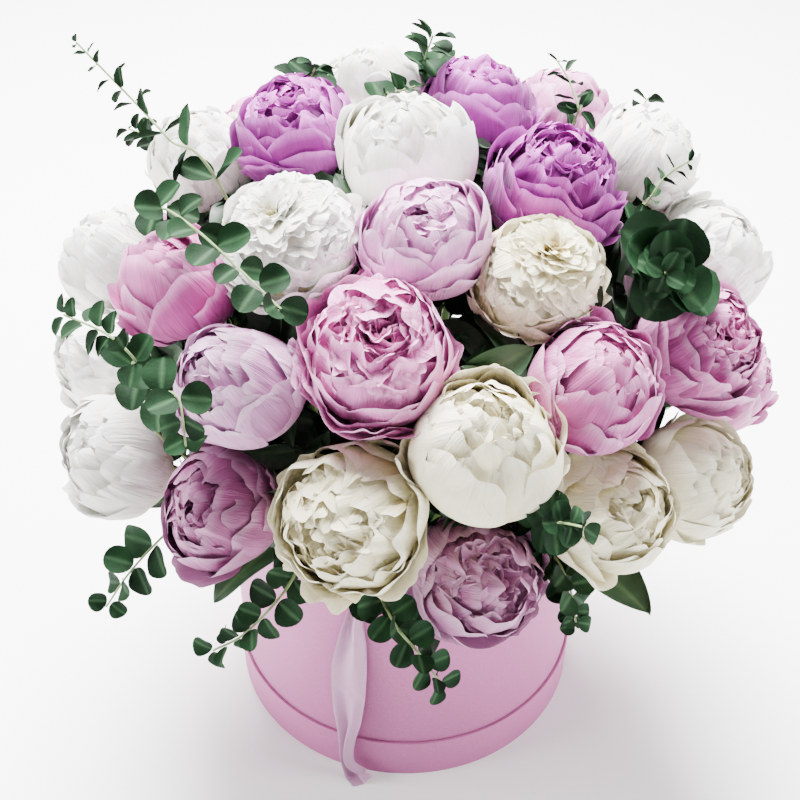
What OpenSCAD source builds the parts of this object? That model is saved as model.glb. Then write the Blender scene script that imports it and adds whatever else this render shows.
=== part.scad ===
// Round flower box: a paper hat box standing in its own lid, filled with a
// lift-out insert of floral foam that holds a dome of peonies and eucalyptus.
//
// Frame: millimetres, +Z up, the front of the box towards -Y.
// Origin: centre of the underside of the lid, which is the face that stands on the table.
// An azimuth of 0 degrees is the front, and +90 is the +X side.

/* [Hat box] */
// Outer diameter of the box wall
box_d = 250; // [240:1:260]
// Height of the box, from the lid's panel to the rim
box_h = 198; // [190:1:205]
// Thickness of the wall board
wall_t = 2.5; // [2:0.5:3]
// Thickness of the base board
base_t = 2.5; // [2:0.5:4]

/* [Lid, used as a tray] */
// Height of the lid's band
lid_h = 35; // [25:1:45]
// Thickness of the lid's band
band_t = 1.6; // [1:0.2:2]
// Thickness of the lid's panel
panel_t = 2; // [1.5:0.5:3]
// Running gap between the box and the lid's band
lid_gap = 0.5; // [0.4:0.1:1]

/* [Insert] */
// Outer diameter of the plastic liner
liner_d = 230; // [224:1:232]
// Height of the liner's edge above the box base
liner_h = 185; // [180:1:188]
// Thickness of the liner
liner_t = 0.8; // [0.6:0.2:1.2]
// Height of the floral foam
foam_h = 172; // [165:1:175]
// Chamfer around the top of the foam
foam_chamfer = 10; // [5:1:15]

/* [Ribbon handle] */
// Width of the satin ribbon
ribbon_w = 25; // [20:1:30]
// Thickness of the ribbon solid
ribbon_t = 1; // [0.6:0.2:1.2]
// Height of the eyelets above the table
eyelet_z = 178; // [170:1:182]
// Inner radius of an eyelet
eyelet_r = 3.5; // [3:0.5:4]
// Azimuth of the front eyelet
eyelet_azimuth = -14; // [-20:1:-10]

/* [Dome of flowers] */
// Horizontal radius of the dome that the flower centres lie on
dome_r = 190; // [188:1:194]
// Vertical radius of that dome
dome_h = 126; // [124:1:130]
// Height of the dome's widest level
dome_z = 306; // [304:1:310]
// Part of its dome angle that a flower faces away from straight up
nod = 0.55; // [0.5:0.05:0.6]
// Diameter of a peony stem
stem_d = 6; // [5:0.5:6]
// Depth that the stems are pushed into the foam
stem_depth = 35; // [30:1:40]

/* [Eucalyptus] */
// Diameter of a eucalyptus stem
twig_d = 2.4; // [2:0.2:3]
// Radius of a eucalyptus leaf
leaf_r = 7; // [5:0.5:7]
// Thickness of a leaf
leaf_t = 1.2; // [1:0.2:1.6]

/* [Peony leaves] */
// Length of a leaf blade
blade_l = 78; // [60:1:80]
// Width of a leaf blade
blade_w = 28; // [20:1:30]
// Droop of a leaf blade over the rim, in degrees
blade_droop = 7; // [5:1:8]

/* [Hidden] */
$fn = 96;
touch = 0.01;

box_r = box_d / 2;
inner_r = box_r - wall_t;
rim_z = panel_t + box_h;
floor_z = panel_t + base_t;
band_r = box_r + lid_gap;
liner_r = liner_d / 2;
foam_r = liner_r - liner_t;
foam_z = floor_z + liner_t;
foam_top = foam_z + foam_h;

// The eyelet: a barrel through the wall with a flange on each side
barrel_t = 1;
flange_t = 0.8;
flange_r = eyelet_r + 3;
hole_gap = 0.1;
flange_in = inner_r - 0.3;

// The flower head: a cup of guard petals around a ball of inner petals
HEAD_FILL = 0.91;
CUT = 0.8;
calyx_h = 8;
calyx_r = 12;

// Peonies: colour, number in that colour, azimuth, dome angle from the top, reach, width
PEONIES = [
    ["white", 1, -14, 5, 0.99, 80],
    ["white", 2, -38, 32, 1.02, 78],
    ["white", 3, -57, 99, 1.06, 72],
    ["white", 4, 95, 72, 1.04, 74],
    ["white", 5, 111, 51, 1.05, 72],
    ["white", 6, -95, 75, 1.01, 72],
    ["white", 7, -108, 45, 1.00, 72],
    ["white", 8, -76, 91, 0.99, 66],
    ["white", 9, -165, 30, 1.02, 70],
    ["white", 10, -141, 101, 1.00, 76],
    ["cream", 1, 37, 39, 0.94, 72],
    ["cream", 2, 12, 69, 1.01, 78],
    ["cream", 3, -9, 87, 0.99, 80],
    ["cream", 4, 35, 97, 0.99, 74],
    ["cream", 5, 55, 102, 1.07, 74],
    ["cream", 6, 94, 104, 1.00, 76],
    ["cream", 7, 152, 66, 1.01, 76],
    ["cream", 8, 172, 84, 1.00, 76],
    ["magenta", 1, -109, 22, 1.00, 74],
    ["magenta", 2, 74, 27, 0.96, 80],
    ["magenta", 3, 148, 24, 1.00, 70],
    ["magenta", 4, 177, 52, 1.01, 76],
    ["pink", 1, -7, 50, 0.99, 80],
    ["pink", 2, -60, 52, 0.98, 68],
    ["pink", 3, -32, 96, 1.00, 68],
    ["pink", 4, 35, 63, 0.99, 72],
    ["pink", 5, 63, 70, 1.01, 74],
    ["pink", 6, 13, 115, 1.00, 76],
    ["pink", 7, 76, 93, 1.04, 66],
    ["pink", 8, 136, 46, 1.04, 70],
    ["pink", 9, 120, 82, 1.00, 76],
    ["pink", 10, 138, 105, 1.00, 76],
    ["pink", 11, -170, 108, 1.00, 76],
    ["pink", 12, -145, 67, 1.00, 76],
    ["pink", 13, -113, 93, 1.00, 74],
    ["blush", 1, 4, 27, 1.01, 70],
    ["blush", 2, -32, 62, 0.99, 68],
    ["blush", 3, -90, 114, 1.00, 76],
];
PETAL_COLOURS = [
    ["white", "white"],
    ["cream", "ivory"],
    ["magenta", "orchid"],
    ["pink", "plum"],
    ["blush", "thistle"],
];

// Eucalyptus: node name, then each twig as its first leafy point and its route from the foam
EUCALYPTUS = [
    ["eucalyptus_top_left",
        [2, [[-36, -5, 150], [-105, -22, 405], [-140, 5, 430], [-165, 35, 440], [-200, 60, 465]]]],
    ["eucalyptus_left_high",
        [2, [[-42, -12, 150], [-147, 3, 362], [-140, -46, 414], [-110, -96, 430], [-62, -160, 426]]]],
    ["eucalyptus_left",
        [2, [[-62, -48, 150], [-140, -115, 340], [-140, -145, 385], [-155, -135, 393], [-182, -112, 388]]],
        [3, [[-50, -55, 150], [-132, -135, 320], [-125, -165, 375], [-112, -180, 388], [-108, -195, 370]]]],
    ["eucalyptus_low_left",
        [4, [[-62, -58, 150], [-80, -74, 206], [-120, -122, 262], [-136, -150, 266], [-154, -170, 256],
            [-166, -188, 246]]],
        [3, [[-34, -80, 150], [-43, -103, 206], [-56, -160, 258], [-68, -192, 262], [-88, -205, 245],
            [-106, -206, 232]]]],
    ["eucalyptus_front",
        [3, [[-5, -80, 150], [-9, -108, 208], [-20, -155, 240], [-8, -200, 250], [6, -212, 238],
            [18, -216, 218]]]],
    ["eucalyptus_front_right",
        [3, [[25, -55, 150], [62, -130, 265], [66, -178, 304], [72, -212, 338], [82, -222, 345]]],
        [3, [[36, -76, 150], [46, -98, 206], [78, -148, 252], [90, -168, 246], [94, -184, 232]]]],
    ["eucalyptus_right",
        [2, [[58, -26, 150], [142, -34, 380], [138, -72, 398], [131, -104, 411]]]],
    ["eucalyptus_top_right",
        [2, [[50, 14, 150], [130, 8, 366], [139, -4, 396], [149, 0, 412], [164, 6, 420]]],
        [2, [[32, 30, 150], [94, 38, 412], [98, 28, 438], [93, 46, 450], [86, 62, 457]]]],
    ["eucalyptus_top",
        [2, [[12, 22, 150], [20, 100, 410], [8, 85, 440], [12, 62, 470]]],
        [2, [[-38, 32, 150], [-70, 75, 410], [-63, 70, 436], [-58, 56, 452]]],
        [2, [[-12, 22, 150], [-16, 42, 415], [-12, 42, 440], [2, 36, 450]]]],
    ["eucalyptus_back",
        [2, [[-46, 30, 150], [-146, 91, 359], [-172, 112, 375], [-195, 135, 372]]],
        [2, [[-14, 60, 150], [-42, 168, 340], [-46, 202, 352], [-40, 230, 346]]],
        [3, [[22, 66, 150], [34, 100, 208], [56, 160, 258], [62, 195, 255], [70, 225, 238]]],
        [2, [[52, 34, 150], [128, 112, 355], [150, 135, 378], [165, 150, 392]]]],
];

// Azimuths of the peony leaves, which lie over the rim between the lowest stems
PEONY_LEAVES = [-73, -39, 3, 46, 82, 107, 122, 150, 176, -155, -128, -108];

BOX_NODES = ["lid_band", "lid_panel", "box_wall", "box_base", "ribbon_eyelets", "ribbon_front",
    "ribbon_back", "liner", "foam", "flower_stems", "peony_leaves"];

function peony_name(p) = str("peony_", p[0], "_", p[1]);
function direction(azimuth, angle) =
    [sin(angle) * sin(azimuth), -sin(angle) * cos(azimuth), cos(angle)];
function around(azimuth, r, z) = [r * sin(azimuth), -r * cos(azimuth), z];
function dome_point(azimuth, angle, reach) =
    around(azimuth, reach * dome_r * sin(angle), dome_z + reach * dome_h * cos(angle));
function head_point(p) = dome_point(p[2], p[3], p[4]);
function head_radius(p) = HEAD_FILL * p[5] / 2;
function head_angle(p) = nod * p[3];
function lookup_text(key, table) = [for (row = table) if (row[0] == key) row[1]][0];

// Moves its children from the origin and +Z to a place on the dome, facing the flower's way
module faced(p) {
    translate(head_point(p)) rotate([head_angle(p), 0, p[2]]) children();
}

// Moves its children to azimuth a, with +Z turned to point outward
module radial(a, z) {
    rotate([0, 0, a]) translate([0, 0, z]) rotate([90, 0, 0]) children();
}

// Turns +Z to the direction of d
module aimed(d) {
    rotate([0, acos(d.z / norm(d)), atan2(d.y, d.x)]) children();
}

// An eight-sided rod from a to b, run on by its radius at both ends so that a chain of rods joins
module rod(a, b, r) {
    translate(a) aimed(b - a) translate([0, 0, -r]) cylinder(h = norm(b - a) + 2 * r, r = r, $fn = 8);
}

module ring(outer, inner, h) {
    difference() {
        cylinder(h = h, r = outer);
        translate([0, 0, -1]) cylinder(h = h + 2, r = inner);
    }
}

// ---- Lid ----

module lid_band() {
    color("plum") ring(band_r + band_t, band_r, lid_h);
}

module lid_panel() {
    color("plum") cylinder(h = panel_t, r = band_r);
}

// ---- Box ----

module eyelet_hole(a) {
    radial(a, eyelet_z) cylinder(h = box_r + 5, r = eyelet_r + barrel_t + hole_gap, $fn = 48);
}

module box_wall() {
    color("plum") difference() {
        translate([0, 0, panel_t]) ring(box_r, inner_r, box_h);
        intersection() {
            eyelet_hole(eyelet_azimuth);
            around_front(eyelet_azimuth);
        }
        intersection() {
            eyelet_hole(eyelet_azimuth + 180);
            around_front(eyelet_azimuth + 180);
        }
    }
}

// A block on the outer side of azimuth a, which keeps a hole out of the far wall
module around_front(a) {
    rotate([0, 0, a]) translate([-20, -box_d, 0]) cube([40, box_d, rim_z]);
}

module box_base() {
    color("plum") translate([0, 0, panel_t]) cylinder(h = base_t, r = inner_r);
}

module eyelet() {
    difference() {
        union() {
            translate([0, 0, flange_in - flange_t]) cylinder(h = flange_t, r = flange_r, $fn = 48);
            translate([0, 0, flange_in - touch])
                cylinder(h = box_r - flange_in + 2 * touch, r = eyelet_r + barrel_t, $fn = 48);
            translate([0, 0, box_r]) cylinder(h = flange_t, r = flange_r, $fn = 48);
        }
        translate([0, 0, flange_in - 5]) cylinder(h = 20, r = eyelet_r, $fn = 48);
    }
}

module ribbon_eyelets() {
    color("silver") for (turn = [0, 180]) radial(eyelet_azimuth + turn, eyelet_z) eyelet();
}

// Ribbon tail: distance from the box axis, height, width and sideways drift at each step down
knot_r = 2.6;
knot_out = liner_r + knot_r + 1;
pinch_r = 2.4;
RIBBON = [
    [box_r + 2.5, eyelet_z + 2, 5, 0],
    [box_r + 4.5, 168, 8, 0],
    [box_r + 5.5, 140, 17, -4],
    [box_r + 5.5, 100, ribbon_w, -8],
    [box_r + 5.5, 60, 22, -9],
    [box_r + 6, 30, 17, -10],
    [box_r + 6.5, 14, 19, -8],
    [box_r + 9, ribbon_t + 1, ribbon_w, 2],
];

// The four corners of the ribbon's cross-section at step i, in the frame of the tail
function ribbon_corners(s) =
    let (half = s[2] / 2, inner = -s[0], outer = -s[0] - ribbon_t)
    [[s[3] - half, inner, s[1]], [s[3] + half, inner, s[1]],
        [s[3] + half, outer, s[1]], [s[3] - half, outer, s[1]]];

module ribbon_tail() {
    n = len(RIBBON);
    points = [for (s = RIBBON) each ribbon_corners(s)];
    sides = [for (i = [0 : n - 2], k = [0 : 3])
        let (a = 4 * i + k, b = 4 * i + (k + 1) % 4)
        each [[b, a, b + 4], [b + 4, a, a + 4]]];
    last = 4 * n - 4;
    polyhedron(points, concat(sides, [[0, 1, 2, 3], [last + 3, last + 2, last + 1, last]]));
}

module ribbon(azimuth) {
    color("lavenderblush") {
        rotate([0, 0, azimuth]) ribbon_tail();
        radial(azimuth, eyelet_z) {
            translate([0, 0, knot_out - knot_r]) cylinder(h = 2 * knot_r, r = knot_r + 2, $fn = 8);
            translate([0, 0, knot_out]) cylinder(h = box_r + 3 - knot_out, r = pinch_r, $fn = 8);
        }
    }
}

module ribbon_front() {
    ribbon(eyelet_azimuth);
}

module ribbon_back() {
    ribbon(eyelet_azimuth + 180);
}

// ---- Insert ----

module liner() {
    color("whitesmoke") translate([0, 0, floor_z]) {
        cylinder(h = liner_t, r = liner_r);
        ring(liner_r, liner_r - liner_t, liner_h);
    }
}

module foam() {
    color("seagreen") translate([0, 0, foam_z]) {
        cylinder(h = foam_h - foam_chamfer, r = foam_r);
        translate([0, 0, foam_h - foam_chamfer])
            cylinder(h = foam_chamfer, r1 = foam_r, r2 = foam_r - foam_chamfer);
    }
}

// ---- Peonies ----

module peony(p) {
    r = head_radius(p);
    color(lookup_text(p[0], PETAL_COLOURS)) faced(p) {
        intersection() {
            sphere(r = r, $fn = 48);
            translate([0, 0, -CUT * r]) cylinder(h = (CUT + 0.3) * r, r = 2 * r);
        }
        translate([0, 0, 0.15 * r]) sphere(r = 0.82 * r, $fn = 48);
    }
}

function stem_top(p) =
    head_point(p) - direction(p[2], head_angle(p)) * (CUT * head_radius(p) + calyx_h);
function stem_foot(p) = around(p[2], p[3] * 0.625, foam_top - stem_depth);

// Each stem ends in its calyx, a cone that carries the flower head on its wide face
module flower_stems() {
    color("olivedrab") for (p = PEONIES) {
        rod(stem_foot(p), stem_top(p), stem_d / 2);
        faced(p) translate([0, 0, -CUT * head_radius(p) - calyx_h])
            cylinder(h = calyx_h, r1 = stem_d / 2 + 1, r2 = calyx_r, $fn = 24);
    }
}

// A pointed leaf blade that starts at the origin and lies along -Y
module blade() {
    half_l = blade_l / 2;
    half_w = blade_w / 2;
    arc_r = (half_l * half_l + half_w * half_w) / blade_w;
    offset_x = arc_r - half_w;
    translate([0, -half_l, 0]) intersection() {
        translate([offset_x, 0, 0]) cylinder(h = leaf_t, r = arc_r);
        translate([-offset_x, 0, 0]) cylinder(h = leaf_t, r = arc_r);
    }
}

module peony_leaves() {
    reach_in = 92;
    reach_rim = 112;
    color("darkgreen") for (a = PEONY_LEAVES) {
        rod(around(a, reach_in, foam_top - 30), around(a, reach_rim, rim_z + 11), 1.5);
        translate(around(a, reach_rim - 2, rim_z + 11)) rotate([blade_droop, 0, a]) blade();
    }
}

// ---- Eucalyptus ----

// Two leaves facing each other across the twig, tipped towards its end
module leaf_pair(r) {
    for (side = [0, 180]) rotate([0, 0, side]) rotate([0, -35, 0])
        translate([r, 0, -leaf_t / 2]) cylinder(h = leaf_t, r = r, $fn = 12);
}

module twig(first_leafy, route) {
    last = len(route) - 1;
    for (i = [0 : last - 1]) rod(route[i], route[i + 1], twig_d / 2);
    for (i = [first_leafy : last]) {
        d = route[i] - route[i - 1];
        translate(route[i]) aimed(d) rotate([0, 0, 90 * (i % 2)]) leaf_pair(leaf_r);
    }
}

module eucalyptus(e) {
    color("darkslategray") for (k = [1 : len(e) - 1]) twig(e[k][0], e[k][1]);
}

lid_band();
lid_panel();
box_wall();
box_base();
ribbon_eyelets();
ribbon_front();
ribbon_back();
liner();
foam();
flower_stems();
peony_leaves();
for (p = PEONIES) peony(p);
for (e = EUCALYPTUS) eucalyptus(e);
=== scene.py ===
import math

import bpy
import numpy as np
from mathutils import Matrix, Vector


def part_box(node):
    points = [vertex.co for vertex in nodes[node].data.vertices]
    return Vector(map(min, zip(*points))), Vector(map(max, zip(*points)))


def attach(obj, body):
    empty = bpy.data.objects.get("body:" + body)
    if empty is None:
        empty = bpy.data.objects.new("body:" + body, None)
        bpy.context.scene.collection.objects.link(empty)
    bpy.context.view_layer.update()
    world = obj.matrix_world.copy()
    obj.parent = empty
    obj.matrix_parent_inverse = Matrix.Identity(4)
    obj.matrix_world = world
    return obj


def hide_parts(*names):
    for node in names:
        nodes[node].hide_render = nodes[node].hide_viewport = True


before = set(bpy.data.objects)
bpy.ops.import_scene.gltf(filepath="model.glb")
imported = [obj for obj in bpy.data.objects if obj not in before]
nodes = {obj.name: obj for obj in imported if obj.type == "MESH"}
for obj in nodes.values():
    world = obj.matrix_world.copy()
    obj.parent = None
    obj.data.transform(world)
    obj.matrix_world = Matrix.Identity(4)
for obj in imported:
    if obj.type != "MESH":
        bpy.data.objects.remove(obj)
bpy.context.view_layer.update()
MM = 0.001


# ---- Camera: the photo's viewing angle ----
CAM_ELEVATION, CAM_ROLL = math.radians(39), math.radians(0.5)
CAM_BACK, CAM_SIDE, CAM_RISE = 0.960, -0.0055, 0.188  # metres from the origin, along the camera's own axes
forward = Vector((0, math.cos(CAM_ELEVATION), -math.sin(CAM_ELEVATION)))
up = Vector((0, math.sin(CAM_ELEVATION), math.cos(CAM_ELEVATION)))
cam = bpy.data.objects.new("camera", bpy.data.cameras.new("camera"))
bpy.context.scene.collection.objects.link(cam)
cam.data.lens = 54
cam.data.sensor_width = 36
cam.data.clip_end = 20
place = forward * -CAM_BACK + Vector((CAM_SIDE, 0, 0)) + up * CAM_RISE
basis = Matrix((Vector((1, 0, 0)), up, -forward)).transposed().to_4x4()
cam.matrix_world = Matrix.Translation(place) @ basis @ Matrix.Rotation(CAM_ROLL, 4, "Z")
bpy.context.scene.camera = cam


# ---- Small helpers ----
def lin(code):
    """A #rrggbb colour as linear RGB."""
    v = np.array([int(code[i : i + 2], 16) for i in (1, 3, 5)]) / 255
    return np.where(v <= 0.04045, v / 12.92, ((v + 0.055) / 1.055) ** 2.4)


def step(a, b, x):
    """A smooth rise from 0 where x is a to 1 where x is b."""
    t = np.clip((x - a) / (b - a), 0, 1)
    return t * t * (3 - 2 * t)


def mix(a, b, t):
    """The value at the share t of the way from a to b."""
    return a + (b - a) * t


def direction(azimuth, angle):
    """A unit vector, in degrees: azimuth from the front towards +x, angle from straight up."""
    a, t = math.radians(azimuth), math.radians(angle)
    return np.array([math.sin(t) * math.sin(a), -math.sin(t) * math.cos(a), math.cos(t)])


UP, FRONT = np.array([0, 0, 1.0]), np.array([0, -1.0, 0.0])


def unit(v):
    return v / np.maximum(np.linalg.norm(v, axis=-1, keepdims=True), 1e-9)


class Soup:
    """Gathers grids of points into one mesh, with a colour for each vertex and a UV for each corner."""

    def __init__(self):
        self.co, self.quads, self.colour, self.uv, self.count = [], [], [], [], 0

    def grids(self, co, colour, uv):
        """co is (n, rows, columns, 3): n sheets, each one a grid of quads."""
        n, rows, cols = co.shape[:3]
        index = np.arange(n * rows * cols).reshape(n, rows, cols) + self.count
        quads = np.stack([index[:, :-1, :-1], index[:, :-1, 1:], index[:, 1:, 1:], index[:, 1:, :-1]], -1)
        self.co.append(co.reshape(-1, 3))
        self.quads.append(quads.reshape(-1, 4))
        self.colour.append(np.broadcast_to(colour, co.shape).reshape(-1, 3))
        self.uv.append(np.broadcast_to(uv, co.shape[:3] + (2,)).reshape(-1, 2))
        self.count += n * rows * cols

    def build(self, name, material, slot, body="insert", replaces=()):
        """Makes the object, hangs it from its body's empty and hides the CAD nodes it stands for; slot is not
        used.
        """
        co, quads = np.concatenate(self.co), np.concatenate(self.quads)
        colour, uv = np.concatenate(self.colour), np.concatenate(self.uv)
        mesh = bpy.data.meshes.new(name)
        mesh.vertices.add(len(co))
        mesh.vertices.foreach_set("co", co.astype(np.float32).ravel())
        mesh.loops.add(quads.size)
        mesh.loops.foreach_set("vertex_index", quads.astype(np.int32).ravel())
        mesh.polygons.add(len(quads))
        mesh.polygons.foreach_set("loop_start", np.arange(len(quads), dtype=np.int32) * 4)
        mesh.polygons.foreach_set("use_smooth", np.ones(len(quads), bool))
        layer = mesh.uv_layers.new(name="UVMap")
        layer.data.foreach_set("uv", uv[quads.ravel()].astype(np.float32).ravel())
        tint = mesh.color_attributes.new("tint", "FLOAT_COLOR", "POINT")
        rgba = np.concatenate([np.clip(colour, 0, 1), np.ones((len(co), 1))], 1)
        tint.data.foreach_set("color", rgba.astype(np.float32).ravel())
        mesh.update(calc_edges=True)
        mesh.validate()
        mesh.materials.append(material)
        obj = bpy.data.objects.new(name, mesh)
        bpy.context.scene.collection.objects.link(obj)
        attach(obj, body)
        if replaces:
            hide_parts(*replaces)
        return obj


# ---- Materials ----
class Nodes:
    """A material's node tree, with short calls for the nodes used here."""

    def __init__(self, name):
        self.material = bpy.data.materials.new(name)
        self.material.use_nodes = True
        self.tree = self.material.node_tree
        self.shader = self.tree.nodes["Principled BSDF"]
        self.output = self.tree.nodes["Material Output"]

    def put(self, where, value):
        """Links a node's output to an input, or sets the input itself."""
        if hasattr(value, "is_output"):
            self.tree.links.new(value, where)
        else:
            where.default_value = value

    def add(self, kind, settings=(), **inputs):
        n = self.tree.nodes.new(kind)
        for key, value in dict(settings).items():
            setattr(n, key, value)
        for key, value in inputs.items():
            self.put(n.inputs[key.replace("_", " ")], value)
        return n

    def coords(self, kind="Object", scale=(1, 1, 1)):
        c = self.add("ShaderNodeTexCoord").outputs[kind]
        return self.add("ShaderNodeMapping", Vector=c, Scale=scale).outputs["Vector"]

    def noise(self, vector, scale, detail=3.0, rough=0.5):
        return self.add(
            "ShaderNodeTexNoise", Vector=vector, Scale=scale, Detail=detail, Roughness=rough
        ).outputs["Fac"]

    def span(self, value, a, b, lo=0.0, hi=1.0):
        n = self.add("ShaderNodeMapRange", Value=value, From_Min=a, From_Max=b, To_Min=lo, To_Max=hi)
        return n.outputs["Result"]

    def blend(self, factor, a, b, kind="MIX"):
        n = self.add("ShaderNodeMix", {"data_type": "RGBA", "blend_type": kind})
        self.put(n.inputs[0], factor)
        self.put(n.inputs[6], a)
        self.put(n.inputs[7], b)
        return n.outputs[2]

    def bump(self, height, strength, distance):
        n = self.add("ShaderNodeBump", Height=height, Strength=strength, Distance=distance)
        self.put(self.shader.inputs["Normal"], n.outputs["Normal"])
        return n.outputs["Normal"]

    def set(self, **inputs):
        for key, value in inputs.items():
            self.put(self.shader.inputs[key.replace("_", " ")], value)

    def tint(self):
        return self.add("ShaderNodeVertexColor", {"layer_name": "tint"}).outputs["Color"]


def rgb(code):
    return (*lin(code), 1.0)


PETAL_SHEERNESS = 0.14  # share of the light that a petal lets through
CREASE_WEIGHT = 4.0  # height of the broad creases against the fine veins


def petal_material(name):
    """Petal skin: the tint of each vertex, veins and creases along it, faint blotches, light through it."""
    m = Nodes(name)
    veins = m.noise(m.coords("UV", (26, 1.6, 1)), 1.0, 4.0, 0.6)
    blotch = m.noise(m.coords("Object", (1, 1, 1)), 160.0, 2.0)
    crease = m.noise(m.coords("UV", (3.2, 1.5, 1)), 1.0, 3.0, 0.55)
    shade = m.span(veins, 0.3, 0.7, 0.92, 1.04)
    colour = m.add("ShaderNodeVectorMath", {"operation": "SCALE"}, Scale=shade)
    m.put(colour.inputs[0], m.tint())
    mottled = m.add(
        "ShaderNodeVectorMath", {"operation": "SCALE"}, Scale=m.span(blotch, 0.3, 0.7, 0.95, 1.03)
    )
    m.put(mottled.inputs[0], colour.outputs[0])
    height = m.add("ShaderNodeMath", {"operation": "MULTIPLY_ADD"})
    m.put(height.inputs[0], crease)
    m.put(height.inputs[1], CREASE_WEIGHT)
    m.put(height.inputs[2], veins)
    normal = m.bump(height.outputs[0], 0.6, 0.0012)
    m.set(Base_Color=mottled.outputs[0], Roughness=0.62, Specular_IOR_Level=0.25, Sheen_Weight=0.15)
    through = m.add("ShaderNodeBsdfTranslucent", Color=mottled.outputs[0], Normal=normal)
    both = m.add("ShaderNodeMixShader")
    m.put(both.inputs[0], PETAL_SHEERNESS)
    m.put(both.inputs[1], m.shader.outputs[0])
    m.put(both.inputs[2], through.outputs[0])
    m.put(m.output.inputs["Surface"], both.outputs[0])
    return m.material


def leaf_material(name, rough, spec, light):
    """Leaf skin: the tint of each vertex, side veins and a mottled bloom."""
    m = Nodes(name)
    veins = m.noise(m.coords("UV", (3, 9, 1)), 1.6, 3.0, 0.55)
    mottle = m.noise(m.coords("Object"), 120.0, 4.0)
    shade = m.add("ShaderNodeVectorMath", {"operation": "SCALE"}, Scale=m.span(mottle, 0.3, 0.7, 0.8, 1.2))
    m.put(shade.inputs[0], m.tint())
    colour = m.blend(m.span(veins, 0.55, 0.75, 0.0, 0.35), shade.outputs[0], rgb(light))
    m.bump(veins, 0.3, 0.0006)
    uneven = m.span(mottle, 0.3, 0.7, rough - 0.08, rough + 0.08)
    m.set(Base_Color=colour, Roughness=uneven, Specular_IOR_Level=spec)
    return m.material


def paper_material(name, code, dark):
    """Smooth dyed paper: fine fibres, faint clouding and a soft matte face."""
    m = Nodes(name)
    fibre = m.noise(m.coords("Object", (1, 1, 1)), 900.0, 4.0, 0.65)
    cloud = m.noise(m.coords("Object", (1, 1, 0.4)), 9.0, 3.0)
    colour = m.blend(m.span(cloud, 0.3, 0.7), rgb(dark), rgb(code))
    colour = m.blend(m.span(fibre, 0.3, 0.75, 0.0, 0.10), colour, rgb("#fff2fb"))
    m.bump(fibre, 0.12, 0.0003)
    m.set(Base_Color=colour, Roughness=m.span(fibre, 0.3, 0.7, 0.5, 0.62), Specular_IOR_Level=0.3)
    return m.material


def satin_material(name, code, shade):
    """Satin ribbon: a fine weave across its width and a broad anisotropic sheen."""
    m = Nodes(name)
    uv = m.coords("UV", (1, 1, 1))
    weft = m.add(
        "ShaderNodeTexWave", {"bands_direction": "Y"}, Vector=uv, Scale=190.0, Distortion=0.3, Detail=1.0
    ).outputs["Fac"]
    slub = m.noise(m.coords("UV", (2, 60, 1)), 2.0, 2.0)
    colour = m.blend(m.span(slub, 0.3, 0.7), rgb(shade), rgb(code))
    m.bump(weft, 0.12, 0.0001)
    m.set(
        Base_Color=colour, Roughness=m.span(weft, 0, 1, 0.34, 0.42), Specular_IOR_Level=0.55,
        Anisotropic=0.5, Sheen_Weight=0.3, Sheen_Roughness=0.4,
    )
    return m.material


def metal_material(name):
    """Bright eyelet metal, faintly brushed."""
    m = Nodes(name)
    brush = m.noise(m.coords("Object"), 1400.0, 3.0)
    m.bump(brush, 0.05, 0.0001)
    m.set(Base_Color=rgb("#c9c9cd"), Metallic=1.0, Roughness=m.span(brush, 0.3, 0.7, 0.2, 0.32))
    return m.material


def film_material(name):
    """Clear plastic film, a little cloudy."""
    m = Nodes(name)
    haze = m.noise(m.coords("Object"), 60.0, 3.0)
    m.bump(haze, 0.25, 0.0008)
    m.set(
        Base_Color=rgb("#f2f5f5"), Roughness=m.span(haze, 0.3, 0.7, 0.08, 0.25),
        Transmission_Weight=0.7, IOR=1.3,
    )
    return m.material


def foam_material(name):
    """Wet floral foam: dark green with crumbs, and fine open pores painted dark as their shade."""
    m = Nodes(name)
    pore = m.add("ShaderNodeTexVoronoi", Vector=m.coords("Object"), Scale=900.0).outputs["Distance"]
    crumb = m.noise(m.coords("Object"), 90.0, 5.0, 0.6)
    colour = m.blend(m.span(crumb, 0.3, 0.7), rgb("#2c4a2c"), rgb("#47714a"))
    # Painted shade: each pore is darkened where it sinks into the foam
    colour = m.blend(m.span(pore, 0.0, 0.5, 0.6, 0.0), colour, rgb("#16281a"))
    m.bump(pore, 0.8, 0.0012)
    m.set(Base_Color=colour, Roughness=0.95, Specular_IOR_Level=0.1)
    return m.material


# ---- Peonies ----
# As in the CAD: the dome's radius, height and centre, and how far a head nods as a share of its dome angle
DOME_R, DOME_H, DOME_Z, NOD = 190 * MM, 126 * MM, 306 * MM, 0.55
# As in the CAD: the solid head as a share of the bloom, the flat cut below its centre, the calyx under it
HEAD_FILL, CUT, CALYX = 0.91, 0.8, 8 * MM
FOAM_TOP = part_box("foam")[1].z
STEM_FOOT = FOAM_TOP - 35 * MM

# Petal tints: the deep part near the base, partly the petal's own deeper base and partly painted shade for
# the hollows between petals; the body; the thin edge
TINTS = {
    "white": ("#d0c888", "#fdfcf3", "#ffffff"),
    "cream": ("#c6a948", "#faf3d2", "#fffbe8"),
    "magenta": ("#4c0648", "#8f1f87", "#da74d6"),
    "pink": ("#781a58", "#cc69ae", "#f2b8e0"),
    "blush": ("#963a80", "#dc98ce", "#f8d4f1"),
}
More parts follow.
